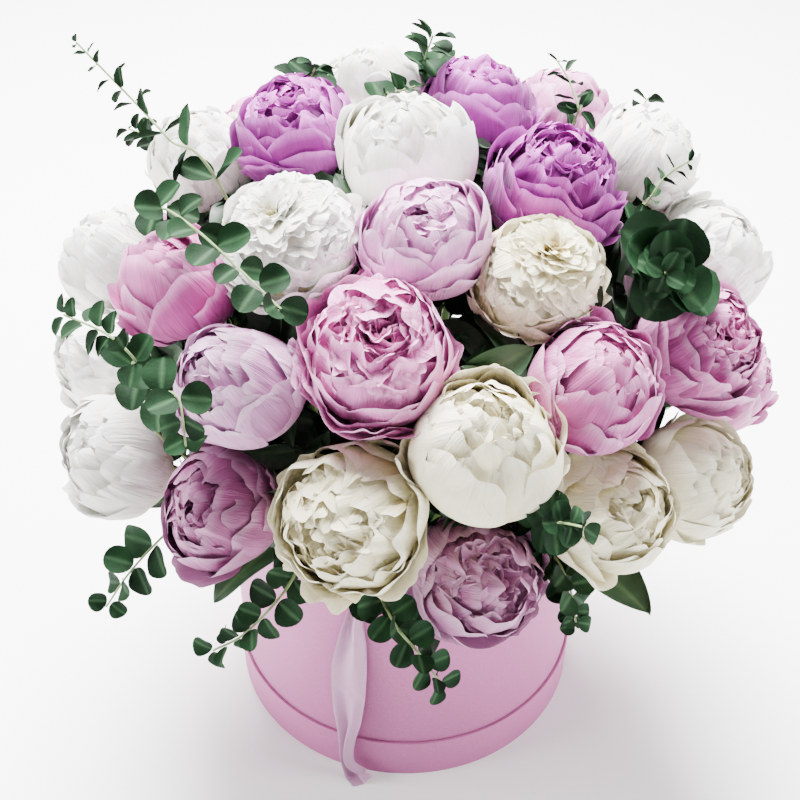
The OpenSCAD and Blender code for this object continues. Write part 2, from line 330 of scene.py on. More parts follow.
# Blooms richer (first number, a power) or darker (second, a factor) than the others of their colour: the
# power is their own richer or duller colour; the factor is mostly painted shade for blooms that lie low or in
# the bouquet's shadow, and partly a duller tone of their own
PAINTED_SHADE_AND_TONE = {
    ("pink", 2): (1.3, 0.95), ("pink", 3): (1.0, 0.56), ("pink", 4): (1.2, 0.8), ("pink", 5): (1.05, 0.85),
    ("pink", 6): (0.8, 0.64), ("magenta", 2): (1.15, 0.9), ("blush", 2): (1.0, 0.8),
    ("cream", 2): (1.0, 0.92), ("cream", 3): (1.15, 0.86), ("cream", 4): (1.1, 0.95),
    ("cream", 5): (1.0, 0.88), ("white", 3): (1.0, 0.85),
}

# Colour, number, azimuth, dome angle, reach, width in mm; then the bloom's own look:
# how far the cup has opened 0 to 1, ruffle 0 to 1, lean of the heart sideways and up in degrees, seed
PEONIES = [
    ("white", 1, -14, 5, 0.99, 80, 0.30, 0.45, 0, -12, 11),
    ("white", 2, -38, 32, 1.02, 78, 0.95, 0.80, 0, -14, 12),
    ("white", 3, -57, 99, 1.06, 72, 0.15, 0.30, -20, 5, 13),
    ("white", 4, 95, 72, 1.04, 74, 0.30, 0.40, -10, 0, 14),
    ("white", 5, 111, 51, 1.05, 72, 0.40, 0.50, 0, 0, 15),
    ("white", 6, -95, 75, 1.01, 72, 0.35, 0.50, 10, 0, 16),
    ("white", 7, -108, 45, 1.00, 72, 0.35, 0.50, 0, 0, 17),
    ("white", 8, -76, 91, 0.99, 66, 0.20, 0.35, 0, 0, 18),
    ("white", 9, -165, 30, 1.02, 70, 0.40, 0.50, 0, 0, 19),
    ("white", 10, -141, 101, 1.00, 76, 0.45, 0.60, 0, 0, 20),
    ("cream", 1, 37, 39, 0.94, 72, 0.90, 0.75, 0, 0, 21),
    ("cream", 2, 12, 69, 1.01, 78, 0.30, 0.70, -16, 12, 122),
    ("cream", 3, -9, 87, 0.99, 80, 0.50, 1.00, -16, -2, 23),
    ("cream", 4, 35, 97, 0.99, 74, 0.40, 0.60, 8, 0, 24),
    ("cream", 5, 55, 102, 1.07, 74, 0.35, 0.50, 0, 0, 25),
    ("cream", 6, 94, 104, 1.00, 76, 0.60, 0.70, 0, 0, 26),
    ("cream", 7, 152, 66, 1.01, 76, 0.80, 0.80, 0, 0, 27),
    ("cream", 8, 172, 84, 1.00, 76, 0.30, 0.50, 8, 0, 28),
    ("magenta", 1, -109, 22, 1.00, 74, 0.50, 0.70, 0, 0, 31),
    ("magenta", 2, 74, 27, 0.96, 80, 0.60, 0.85, 0, 0, 32),
    ("magenta", 3, 148, 24, 1.00, 70, 0.50, 0.65, 0, 0, 33),
    ("magenta", 4, 177, 52, 1.01, 76, 0.60, 0.80, 0, 0, 34),
    ("pink", 1, -7, 50, 0.99, 80, 0.70, 0.85, 4, 6, 41),
    ("pink", 2, -60, 52, 0.98, 68, 0.30, 0.40, -12, 0, 42),
    ("pink", 3, -32, 96, 1.00, 68, 0.30, 0.60, -16, 4, 43),
    ("pink", 4, 35, 63, 0.99, 72, 0.35, 0.40, 0, 8, 44),
    ("pink", 5, 63, 70, 1.01, 74, 0.55, 0.60, 0, 0, 45),
    ("pink", 6, 13, 115, 1.00, 76, 0.60, 0.80, 0, 6, 46),
    ("pink", 7, 76, 93, 1.04, 66, 0.35, 0.50, 0, 0, 47),
    ("pink", 8, 136, 46, 1.04, 70, 0.40, 0.50, 0, 0, 48),
    ("pink", 9, 120, 82, 1.00, 76, 0.70, 0.80, 0, 0, 49),
    ("pink", 10, 138, 105, 1.00, 76, 0.30, 0.50, 0, 0, 50),
    ("pink", 11, -170, 108, 1.00, 76, 0.50, 0.70, 0, 0, 51),
    ("pink", 12, -145, 67, 1.00, 76, 0.65, 0.85, 0, 0, 52),
    ("pink", 13, -113, 93, 1.00, 74, 0.30, 0.40, 0, 0, 53),
    ("blush", 1, 4, 27, 1.01, 70, 0.45, 0.60, -6, 0, 61),
    ("blush", 2, -32, 62, 0.99, 68, 0.20, 0.40, -24, 12, 62),
    ("blush", 3, -90, 114, 1.00, 76, 0.45, 0.55, 0, 0, 63),
]


def head_frame(p):
    """Centre, radius and the three axes of a flower head, as the CAD places it."""
    azimuth, angle, reach, width = p[2:6]
    t = math.radians(angle)
    centre = direction(azimuth, 90) * reach * DOME_R * math.sin(t)
    centre[2] = DOME_Z + reach * DOME_H * math.cos(t)
    z = direction(azimuth, NOD * angle)
    x = -direction(azimuth - 90, 90)
    return centre, width * MM / 2, x, np.cross(z, x), z


def ripples(rng, n, u, v, low, high, terms=3):
    """A smooth random ripple over each of n petals, about -1 to 1."""
    total = 0
    for _ in range(terms):
        k = rng.uniform(low, high, (n, 1, 1)) * rng.choice([-1, 1], (n, 1, 1))
        total = total + np.sin(k * u + rng.uniform(-3, 3, (n, 1, 1)) * v + rng.uniform(0, 6.3, (n, 1, 1)))
    return total / terms


class Petals:
    """n petals laid out on a grid: u runs across a petal, v along it, s along it as cut by its uneven tip."""

    def __init__(self, rng, n, ruffle, nu, nv):
        self.rng, self.n, self.ruffle = rng, n, ruffle
        self.u = np.linspace(-1, 1, nu)[None, None, :]
        self.v = np.linspace(0, 1, nv)[None, :, None]
        notch = rng.uniform(-0.6, 0.6, (n, 1, 1))
        contour = (
            1 - self.each(0.24, 0.07) * np.abs(self.u) ** 2.8
            - (0.02 + 0.03 * ruffle) * ripples(rng, n, self.u, 0, 4, 9)
            - self.each(0.05, 0.05) * np.exp(-(((self.u - notch) / 0.13) ** 2))
        )
        self.s = self.v * contour
        width = 0.34 + 0.66 * np.sin(np.minimum(self.s / 0.6, 1) * math.pi / 2)
        self.width = width * (1 - 0.25 * np.clip((self.s - 0.6) / 0.4, 0, 1) ** 2)
        self.edge = step(0.35, 1, self.v) + 0.6 * step(0.55, 1, np.abs(self.u)) * step(0.15, 0.5, self.v)
        self.uv = np.stack(np.broadcast_arrays(self.u, self.v), -1) + rng.uniform(0, 50, (n, 1, 1, 2))

    def each(self, value, spread):
        """A number for each petal, near the given one."""
        return value + self.rng.uniform(-spread, spread, (self.n, 1, 1))

    def ripple(self, low, high, terms=3):
        return ripples(self.rng, self.n, self.u, self.v, low, high, terms)

    def turns(self, turn):
        """Azimuths spread evenly round the bud, each one moved a little."""
        k = np.arange(self.n).reshape(self.n, 1, 1)
        return turn + k * 2 * math.pi / self.n + self.each(0, 1.3 / self.n)

    def place(self, theta, phi, rho, a):
        """Points at theta from the bud's top and phi round it, a sideways from there, rho from its centre."""
        meridian = np.stack([np.sin(theta) * np.cos(phi), np.sin(theta) * np.sin(phi), np.cos(theta)], -1)
        east = np.stack([-np.sin(phi), np.cos(phi), 0 * phi], -1)
        return (np.cos(a)[..., None] * meridian + np.sin(a)[..., None] * east) * rho[..., None]

    def cupped(self, turn, base, tip, half, heights, curl, fold, tilt=0.0, towards=0.0):
        """Petals that wrap the bud, from the angle base to the angle tip from its axis.

        heights: distance from the bud's centre at the foot, under the next cup out, and at the tip.
        """
        low, high, brow = heights
        u, s, ruffle = self.u, self.s, self.ruffle
        phi = self.turns(turn)
        tip = self.each(tip, 0.17) + tilt * np.cos(phi - towards)
        theta = base + (tip - base) * s + 0.05 * ruffle * self.edge * self.ripple(3, 7)
        rho = mix(low, high, step(0, 0.45, s)) + (brow - high) * step(0.65, 1, s) + self.each(0, 0.02)
        rho = rho + self.each(0.035, 0.012) * u * (1 - 0.5 * s) - 0.05 * u * u * step(0.1, 0.6, s)
        rho = rho + self.each(curl, 0.07) * step(0.66, 1, s) ** 2
        rho = rho + self.each(0, 0.06) * step(0.5, 1, np.abs(u)) ** 2 * step(0.3, 0.7, s)
        rho = rho + ruffle * self.edge * (0.050 * self.ripple(4, 9) + 0.016 * self.ripple(11, 18))
        rho = rho + fold * step(0.2, 0.8, s) * self.ripple(1.5, 4, 2)
        return self.place(theta, phi, rho, u * self.each(half, 0.14 * half) * self.width)

    def upright(self, turn, theta, half, top, curl, wrap=0.75):
        """Petals that stand in a ring around the heart, so that their edges show."""
        u, s, ruffle = self.u, self.s, self.ruffle
        phi = self.turns(turn)
        rho = mix(0.30, self.each(top, 0.035), s**0.85) + 0.02 * ruffle * self.edge * self.ripple(5, 11)
        theta = self.each(theta, 0.05) * (0.55 + 0.45 * s) + self.each(curl, 0.12) * step(0.6, 1, s) ** 2
        theta = theta + self.edge * ruffle * (0.080 * self.ripple(3, 7) + 0.018 * self.ripple(8, 14))
        theta = theta + self.each(0.04, 0.03) * u + self.each(-0.03, 0.06) * u * u
        a = u * self.each(half, 0.2 * half) * self.width
        phi = phi + wrap * a / np.maximum(np.sin(np.abs(theta)), 0.30)
        return self.place(theta, phi, rho, a * (1 - wrap))


def leaned(co, side, rise):
    """Turns points about the bud's centre, so that its heart moves sideways and up."""
    turn = Matrix.Rotation(math.radians(side), 3, "Y") @ Matrix.Rotation(math.radians(-rise), 3, "X")
    return co @ np.array(turn).T


CUP_PETALS = (5, 5, 6, 7, 8, 9)  # petals in each cup, from the guard petals inwards
CUP_BASES = (152, 150, 132, 115, 100, 90)  # where each cup starts, in degrees from the top of the bud
BULGE = 0.022  # height of the bud's uneven bulges, as a share of its radius


class Bloom:
    """One flower head in the making: its look, where it sits, and the mesh that its petals go into."""

    def __init__(self, p):
        self.colour, self.number = p[:2]
        self.opened, self.ruffle, self.side, self.rise, seed = p[6:]
        self.centre, self.radius, self.x, self.y, self.z = head_frame(p)
        self.soup = Soup()
        self.guard = 26 + 46 * self.opened  # where the guard petals end, in degrees from the top of the bud
        self.fluffy = step(0.7, 0.9, self.opened)
        self.rng = rng = np.random.default_rng(seed)
        self.uneven, self.towards = rng.uniform(0.1, 0.3), rng.uniform(0, 6.3)
        self.squash = rng.uniform(0.98, 1.05, 3) * (1, 1, 0.95)
        self.bulges = [
            (unit(rng.normal(size=3)), rng.uniform(2.5, 4.0), rng.uniform(0, 6.3)) for _ in range(4)
        ]

    def tone(self, petal, inner):
        """Petal colours: deep at the base, with painted shade for the hollows reaching further up the inner
        petals, light at the edge, richer towards the heart, and darkened by painted shade on blooms that lie
        in the bouquet's shadow.
        """
        s, v, each, rng = petal.s, petal.v, (petal.n, 1, 1), self.rng
        deep, body, rim = (lin(code) for code in TINTS[self.colour])
        shift = rng.uniform(-0.08, 0.08, each)
        # Painted shade: the deeper a petal lies in the bloom, the further up it the deep tint reaches
        shaded_depth = inner**0.6
        tone = mix(deep, body, step(0.62 * shaded_depth - 0.12, 0.70 + 0.26 * shaded_depth, s + shift)[..., None])
        tone = mix(tone, rim, (0.85 * step(0.86, 1, v) * np.ones_like(s))[..., None])
        tone = mix(tone, rim, rng.uniform(0, 0.35, (*each, 1)))
        tone = mix(tone, tone * body / body.max(), 0.35 * inner)
        tone = tone * (1 + rng.uniform(-0.10, 0.04, (*each, 1)))
        # Per-bloom richness, and painted shade that darkens blooms lying in the bouquet's shadow
        power, factor = PAINTED_SHADE_AND_TONE.get((self.colour, self.number), (1, 1))
        return factor * tone**power

    def add(self, petal, co, inner, lean):
        """Tints petals and puts them in place. inner: 0 at the guard petals to 1 at the heart."""
        tone = self.tone(petal, inner)
        co = leaned(co, self.side * lean, self.rise * lean)
        swell = sum(np.sin(wave * (co @ way) + phase) for way, wave, phase in self.bulges)
        co = co * (1 + BULGE * swell)[..., None] * self.squash * self.radius
        co = self.centre + co[..., :1] * self.x + co[..., 1:2] * self.y + co[..., 2:] * self.z
        self.soup.grids(co, tone, petal.uv)

    def cups(self):
        """Cups of petals that wrap the bud, from the guard petals inwards."""
        opened, ruffle = self.opened, self.ruffle
        for k in range(6 if opened < 0.8 else 4):
            fine = 29 - 2 * k
            frill = (0.35 + 0.9 * ruffle) * (0.6 + 0.14 * k)
            petal = Petals(self.rng, CUP_PETALS[k], frill, fine, fine - 3)
            tip = math.radians(max(self.guard + 16 - 11 * k, 6))
            heights = (0.80 - 0.05 * k, 0.985 - 0.043 * k, 0.985 - 0.020 * k)
            curl = 0.03 + 0.05 * opened if k == 0 else 0.015
            base, half, turn = math.radians(CUP_BASES[k]), 0.84 - 0.06 * k, self.rng.uniform(0, 6.3)
            co = petal.cupped(turn, base, tip, half, heights, curl, 0.06, self.uneven, self.towards)
            self.add(petal, co, 0.12 * k, 0.35 + 0.13 * k)

    def lining(self):
        """A closed cup under the others, so that no gap shows between them."""
        petal = Petals(self.rng, 6, 0.5, 15, 14)
        base, tip, heights = math.radians(120), math.radians(12), (0.68, 0.72, 0.72)
        # With inner at 0.8 this cup takes mostly the deep tint: painted shade for the bloom's depths between
        # the cups
        self.add(petal, petal.cupped(1.0, base, tip, 0.85, heights, -0.02, 0.03), 0.8, 0.7)

    def rings(self):
        """Rings of upright petals, from the cups to the heart."""
        opened, fluffy = self.opened, self.fluffy
        edge = self.guard - 8 + 16 * fluffy
        count = max(3, round(edge / (7 - fluffy)))
        for k in range(count):
            share = 1 - (k + 0.4) / count
            theta = math.radians(3 + edge * share)
            around = 3 + round((9.5 + 3.5 * fluffy) * math.sin(theta))
            petal = Petals(self.rng, around, (0.45 + 0.9 * self.ruffle) * (1 - 0.45 * fluffy), 19, 13)
            top = 0.93 - 0.10 * (1 - share) * (1 - opened)
            curl = self.rng.uniform(-0.10, 0.10) + 0.16 * fluffy
            half = (0.44 - 0.14 * (1 - share)) * (1 - 0.05 * fluffy)
            co = petal.upright(self.rng.uniform(0, 6.3), theta, half, top, curl)
            self.add(petal, co, 0.35 + 0.65 * (1 - share), 1.0)

    def loosened(self):
        """A few petals that stand away from the bud."""
        ruffle = self.ruffle
        petal = Petals(self.rng, 2 + round(2 * ruffle), 0.5 + 0.9 * ruffle, 25, 22)
        base, tip = math.radians(150), math.radians(min(self.guard + 34, 96))
        heights, curl = (0.82, 1.0, 1.02), 0.07 + 0.05 * ruffle
        co = petal.cupped(self.rng.uniform(0, 6.3), base, tip, 0.62, heights, curl, 0.07)
        self.add(petal, co, 0.0, 0.5)


petal_skins = {c: petal_material("petal_" + c) for c in TINTS}
for p in PEONIES:
    bloom = Bloom(p)
    bloom.cups()
    bloom.lining()
    bloom.rings()
    bloom.loosened()
    colour, name = bloom.colour, f"{bloom.colour}_{bloom.number}"
    bloom.soup.build("petals_" + name, petal_skins[colour], "petal_" + colour, replaces=["peony_" + name])


# ---- Curves, stems and leaves ----
def smooth_path(points, spacing):
    """Points at an even spacing along a smooth curve through the given ones, and the length run at each."""
    pts = np.array(points, float)
    pts = np.vstack([2 * pts[0] - pts[1], pts, 2 * pts[-1] - pts[-2]])
    t = np.linspace(0, 1, 24, endpoint=False)[:, None]
    out = []
    for a, b, c, d in zip(pts, pts[1:], pts[2:], pts[3:]):
        square, cube = 2 * a - 5 * b + 4 * c - d, 3 * b - 3 * c + d - a
        out.append(0.5 * (2 * b + (c - a) * t + square * t**2 + cube * t**3))
    out = np.vstack(out + [pts[-2][None]])
    run = np.concatenate([[0], np.cumsum(np.linalg.norm(np.diff(out, axis=0), axis=1))])
    at = np.linspace(0, run[-1], max(int(run[-1] / spacing), 3) + 1)
    return np.stack([np.interp(at, run, out[:, i]) for i in range(3)], 1), at


def side_of(d):
    """Two unit vectors square to d."""
    ref = UP if abs(d[2]) < 0.9 else np.array([1.0, 0.0, 0.0])
    a = unit(np.cross(d, ref))
    return a, np.cross(d, a)


def tube(soup, path, radii, colour, sides=8):
    """A round tube along a path, with a radius for each of its points."""
    d = unit(np.gradient(path, axis=0))
    a, _ = side_of(d[0])
    rings = []
    for i, point in enumerate(path):
        a = unit(a - d[i] * (a @ d[i]))
        b = np.cross(d[i], a)
        ang = np.linspace(0, 2 * math.pi, sides + 1)[:, None]
        rings.append(point + radii[i] * (np.cos(ang) * a + np.sin(ang) * b))
    co = np.array(rings)[None]
    v = np.linspace(0, 1, len(path))[None, :, None]
    u = np.linspace(0, 1, sides + 1)[None, None, :]
    soup.grids(co, colour, np.stack(np.broadcast_arrays(u, v * 6), -1))


def leaf(soup, root, along, normal, length, width, shape, colour, rib, rng, nu=7, nv=9):
    """One leaf blade. shape: (where it is widest 0 to 1, tip sharpness, droop, cup)."""
    widest, sharp, droop, cup = shape
    u = np.linspace(-1, 1, nu)[None, :]
    v = (1 - np.cos(np.linspace(0, math.pi, nv)))[:, None] / 2
    low, high = np.clip(v / widest, 0, 1), np.clip((v - widest) / (1 - widest), 0, 1)
    rounded, pointed = np.sqrt(np.maximum(1 - (1 - low) ** 2, 0)), np.maximum(1 - high**2, 0) ** sharp
    half = np.where(v < widest, rounded, pointed)
    along, normal = unit(along), unit(normal - unit(along) * (normal @ unit(along)))
    side = np.cross(along, normal)
    bend = droop * v**2
    reach = length * (v - 0.15 * bend * v)
    aside = u * half * width / 2
    wave = 0.03 * length * np.sin(v * 9 + rng.uniform(0, 6)) * np.abs(u)
    height = -length * bend * 0.5 + cup * width * (u * half) ** 2 + wave
    co = root + reach[..., None] * along + aside[..., None] * side + height[..., None] * normal
    tone = np.broadcast_to(colour, co.shape) * (0.85 + 0.3 * v[..., None])
    tone = mix(tone, rib, (np.exp(-((u / 0.10) ** 2)) * 0.35 * np.ones_like(v))[..., None])
    off = rng.uniform(0, 30, 2)
    soup.grids(co[None], tone[None], (np.stack(np.broadcast_arrays(u, v), -1) + off)[None])


# ---- Stems and sepals ----
# Leaf shapes, as leaf() takes them
SEPAL, GAP_LEAF, RIM_LEAF = (0.5, 0.5, -0.75, 0.5), (0.40, 0.8, 0.4, 0.35), (0.40, 0.8, 0.32, 0.3)
STEM_GREEN, SEPAL_GREEN, SEPAL_RIB = lin("#6f8a45"), lin("#5d7f3d"), lin("#8fa860")
LEAF_GREEN, LEAF_RIB = lin("#1e3320"), lin("#46603d")
BLADE_GREEN, BLADE_RIB = lin("#223822"), lin("#5f7f50")
STEM_SPREAD = 0.625  # mm from the axis to a stem's foot, for each degree of its head's dome angle
stem_skin = leaf_material("stem_skin", 0.5, 0.4, "#9db46a")
stems, gap_leaves, shafts = Soup(), Soup(), []
rng = np.random.default_rng(5)
for p in PEONIES:
    centre, radius, x, y, z = head_frame(p)
    cad_r = HEAD_FILL * radius
    top = centre - z * (CUT * cad_r + CALYX * 0.4)
    foot = direction(p[2], 90) * p[3] * STEM_SPREAD * MM
    foot[2] = STEM_FOOT
    way = unit(top - foot)
    bulge = (z - way * (z @ way)) * -6 * MM
    path, _ = smooth_path([foot, mix(foot, top, 0.5) + bulge, top], 6 * MM)
    tube(stems, path, np.linspace(3.0, 2.6, len(path)) * MM, STEM_GREEN)
    # Calyx: five cupped sepals under the head
    for k in range(5):
        ang = k * 2 * math.pi / 5 + rng.uniform(-0.2, 0.2)
        out = math.cos(ang) * x + math.sin(ang) * y
        root = centre - z * (CUT * cad_r + 5 * MM) + out * 1.5 * MM
        long = rng.uniform(22, 27) * MM
        leaf(stems, root, out + 0.35 * z, z, long, 17 * MM, SEPAL, SEPAL_GREEN, SEPAL_RIB, rng)
    shafts.append(path)


# ---- Leaves in the gaps between the heads, on stalks that spring from the nearest stem ----
# Spots wind down the dome in a spiral, from its top to SPOTS_END below it (1 is the dome's edge)
GAP_SPOTS, GOLDEN_ANGLE, SPOTS_END = 900, 137.5, 1.5
heads = [head_frame(p)[:2] for p in PEONIES]
for k in range(GAP_SPOTS):
    azimuth = GOLDEN_ANGLE * k % 360
    angle = math.degrees(math.acos(1 - SPOTS_END * (k + 0.5) / GAP_SPOTS))
    out = direction(azimuth, angle)
    reach = rng.uniform(0.70, 0.86)
    root = direction(azimuth, 90) * reach * DOME_R * math.sin(math.radians(angle))
    root[2] = DOME_Z + reach * DOME_H * math.cos(math.radians(angle))
    # A spot well inside a head has no leaf
    if min(np.linalg.norm(root - c) - r for c, r in heads) < -2 * MM:
        continue
    shaft = min(shafts, key=lambda s: np.linalg.norm(s - root, axis=1).min())
    near = np.linalg.norm(shaft - root, axis=1).argmin()
    start = shaft[max(near - 4, 0)]
    stalk, _ = smooth_path([start, mix(start, root, 0.5) - out * 3 * MM, root], 6 * MM)
    tube(gap_leaves, stalk, np.full(len(stalk), 0.9 * MM), STEM_GREEN * 0.7, 6)
    a, b = side_of(out)
    spin = rng.uniform(0, 2 * math.pi)
    way = math.cos(spin) * a + math.sin(spin) * b + rng.uniform(0.2, 0.9) * out
    long, wide = rng.uniform(40, 56) * MM, rng.uniform(16, 23) * MM
    tone = LEAF_GREEN * rng.uniform(0.6, 1.3)
    leaf(gap_leaves, root, way, out, long, wide, GAP_LEAF, tone, LEAF_RIB, rng, 9, 15)
stems.build("stems_and_sepals", stem_skin, "stem", replaces=["flower_stems"])
leaf_skin = leaf_material("peony_leaf_skin", 0.5, 0.3, "#35512f")
gap_leaves.build("gap_leaves", leaf_skin, "peony_leaf")


# ---- Leaves over the rim, at the azimuths of the CAD's blades; the one at BROAD_LEAF is larger ----
BROAD_LEAF = 46
PEONY_LEAVES = [-73, -39, 3, 46, 82, 107, 122, 150, 176, -155, -128, -108]
RIM_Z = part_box("box_wall")[1].z
STALK_FOOT, STALK_NECK = 92, 110  # mm from the axis
rim_leaves = Soup()
for azimuth in PEONY_LEAVES:
    out = direction(azimuth, 90)
    foot = out * STALK_FOOT * MM + (FOAM_TOP - 30 * MM) * UP
    neck = out * STALK_NECK * MM + (RIM_Z + 10 * MM) * UP
    path, _ = smooth_path([foot, mix(foot, neck, 0.5) - out * 3 * MM, neck], 5 * MM)
    tube(rim_leaves, path, np.linspace(1.6, 1.3, len(path)) * MM, STEM_GREEN)
    grow = 1.35 if azimuth == BROAD_LEAF else 1.0
    for turn, size in ((0, grow), (-38, 0.72), (40, 0.68)):
        way = direction(azimuth + turn + rng.uniform(-6, 6), 90 + rng.uniform(-4, 4))
        tone = BLADE_GREEN * rng.uniform(0.8, 1.25)
        long, wide = 76 * MM * size, 33 * MM * size
        leaf(rim_leaves, neck, way, UP, long, wide, RIM_LEAF, tone, BLADE_RIB, rng, 11, 21)
rim_leaves.build("rim_leaves", leaf_skin, "peony_leaf", replaces=["peony_leaves"])


# ---- Eucalyptus ----
# The twigs of each place: which point of the route is the first leafy one, then the route in mm
EUCALYPTUS = {
    "top_left": [
        (2, [(-36, -5, 150), (-105, -22, 405), (-140, 5, 430), (-165, 35, 440), (-200, 60, 465)]),
    ],
    "left_high": [
        (2, [(-42, -12, 150), (-147, 3, 362), (-140, -46, 414), (-110, -96, 430), (-62, -160, 426)]),
    ],
    "left": [
        (2, [(-62, -48, 150), (-140, -115, 340), (-140, -145, 385), (-155, -135, 393), (-182, -112, 388)]),
        (3, [(-50, -55, 150), (-132, -135, 320), (-125, -165, 375), (-112, -180, 388), (-108, -195, 370)]),
    ],
    "low_left": [
        (4, [(-62, -58, 150), (-80, -74, 206), (-120, -122, 262), (-136, -150, 266), (-154, -170, 256),
             (-166, -188, 246)]),
        (3, [(-34, -80, 150), (-43, -103, 206), (-56, -160, 258), (-68, -192, 262), (-88, -205, 245),
             (-106, -206, 232)]),
    ],
    "front": [
        (3, [(-5, -80, 150), (-9, -108, 208), (-20, -155, 240), (-8, -200, 250), (6, -212, 238),
             (18, -216, 218)]),
    ],
    "front_right": [
        (3, [(25, -55, 150), (62, -130, 265), (66, -178, 304), (72, -212, 338), (82, -222, 345)]),
        (3, [(36, -76, 150), (46, -98, 206), (78, -148, 252), (90, -168, 246), (94, -184, 232)]),
    ],
    "right": [(2, [(58, -26, 150), (142, -34, 380), (138, -72, 398), (131, -104, 411)])],
    "top_right": [
        (2, [(50, 14, 150), (130, 8, 366), (139, -4, 396), (149, 0, 412), (164, 6, 420)]),
        (2, [(32, 30, 150), (94, 38, 412), (98, 28, 438), (93, 46, 450), (86, 62, 457)]),
    ],
    "top": [
        (2, [(12, 22, 150), (20, 100, 410), (8, 85, 440), (12, 62, 470)]),
        (2, [(-38, 32, 150), (-70, 75, 410), (-63, 70, 436), (-58, 56, 452)]),
        (2, [(-12, 22, 150), (-16, 42, 415), (-12, 42, 440), (2, 36, 450)]),
    ],
    "back": [
        (2, [(-46, 30, 150), (-146, 91, 359), (-172, 112, 375), (-195, 135, 372)]),
        (2, [(-14, 60, 150), (-42, 168, 340), (-46, 202, 352), (-40, 230, 346)]),
        (3, [(22, 66, 150), (34, 100, 208), (56, 160, 258), (62, 195, 255), (70, 225, 238)]),
        (2, [(52, 34, 150), (128, 112, 355), (150, 135, 378), (165, 150, 392)]),
    ],
}
# How each place is leafed: leaf length in mm, then as shares of it the gap between pairs, the breadth
# of a leaf and the length of the last pair
LEAFING = {
    "top_left": (24, 0.95, 0.62, 0.30), "top_right": (15, 0.85, 0.55, 0.6), "right": (28, 0.15, 1.05, 0.35),
    "left_high": (16, 1.25, 0.95, 0.9), "left": (17, 0.8, 0.95, 0.6), "low_left": (17, 0.75, 1.0, 0.6),
    "front": (18, 0.6, 0.95, 0.55), "front_right": (18, 0.45, 1.0, 0.5), "top": (18, 0.6, 1.0, 0.7),
    "back": (17, 0.75, 0.95, 0.6),
}
# How far leaves stay away, in legs of the route past the point before the first leafy one
BARE, BARE_AT = 0.35, {"right": 1.15, "left_high": 0.9}
TWIG_BARK = lin("#7c8f63")
EUCALYPTUS_GREEN, EUCALYPTUS_RIB = lin("#142c18"), lin("#4c6f4d")
eucalyptus_skin = leaf_material("eucalyptus_skin", 0.7, 0.08, "#213d29")


def leafy_twig(soup, path, run, begin, leafing, rng):
    """Pairs of leaves along a twig, from near the point begin to its end."""
    leaf_long, gap, breadth, last = leafing
    near = np.argmin(np.linalg.norm(path - begin, axis=1))
    at, k = run[near], 0
    headings = unit(np.gradient(path, axis=0))
    while at < run[-1] + 0.5 * MM:
        i = min(np.searchsorted(run, at), len(path) - 1)
        d = headings[i]
        # Blades turn to the light, so the pairs lie across the twig and not square to each other
        face = unit(0.6 * unit(path[i] * (1, 1, 0)) + 0.9 * UP)
        b = unit(np.cross(d, face))
        a = np.cross(b, d)
        aligned = abs(d @ face)
        end = (at - run[near]) / max(run[-1] - run[near], 1e-6)
        long = leaf_long * MM * mix(1.1, last, end) * rng.uniform(0.85, 1.15)
        swing = (k % 2) * mix(0.7, math.pi / 2, aligned) + rng.uniform(-0.3, 0.3)
        for sign in (1, -1):
            ang = swing + rng.uniform(-0.25, 0.25)
            out = sign * (math.cos(ang) * b + math.sin(ang) * a)
            way = out + rng.uniform(0.1, 0.6) * d
            normal = face + mix(0.2, 1.0, aligned) * d + rng.uniform(-0.25, 0.25, 3)
            tone = EUCALYPTUS_GREEN * rng.uniform(0.6, 1.3)
            shape = (0.52, 0.5, rng.uniform(-0.2, 0.4), 0.22)
            wide = long * breadth * rng.uniform(0.92, 1.08)
            root = path[i] + out * 1.2 * MM
            leaf(soup, root, way, normal, long, wide, shape, tone, EUCALYPTUS_RIB, rng, 9, 11)
        at += max(long * gap, 3 * MM)
        k += 1


for place_name, twigs in EUCALYPTUS.items():
    soup = Soup()
    foot_x = twigs[0][1][0][0]
    rng = np.random.default_rng(len(place_name) * 7 + foot_x % 13)
    for first, route in twigs:
        route = np.array(route, float) * MM
        path, run = smooth_path(route, 3 * MM)
        tube(soup, path, np.linspace(1.5, 0.6, len(path)) * MM, TWIG_BARK, 6)
        # The leaves begin part of the way along one leg of the route
        leg, part = divmod(first - 1 + BARE_AT.get(place_name, BARE), 1)
        begin = mix(route[int(leg)], route[int(leg) + 1], part)
        leafy_twig(soup, path, run, begin, LEAFING[place_name], rng)
    name, node = "eucalyptus_leaves_" + place_name, "eucalyptus_" + place_name
    soup.build(name, eucalyptus_skin, "eucalyptus", replaces=[node])


# ---- Ribbon tails ----
# Distance from the axis, height, visible width and sideways drift in mm, then twist in degrees
TAIL = [
    (121, 180, 4, 0, 0), (127.5, 180, 5, 0, 0), (129.5, 172, 9, -1, 4), (130.5, 158, 14, -3, 8),
    (131, 140, 19, -4, 6), (131, 115, 24.5, -6, 0), (131, 90, 25, -7, -6), (131.5, 65, 22, -8, -20),
    (132.5, 42, 14, -9, -42), (133.5, 26, 8.5, -9, -52), (134, 15, 8.5, -8, -40), (135.5, 5, 18, -2, -15),
    (140, 1.2, 25, 5, -5),
]
WIDTH = 25 * MM
FLOOR_GAP = 0.6 * MM
KNOT_SIZE, KNOT_OUT, KNOT_HEIGHT = 4.2, 118.6, 178  # mm: half the knot's width, from the axis, from the floor
WHITE = lin("#ffffff")


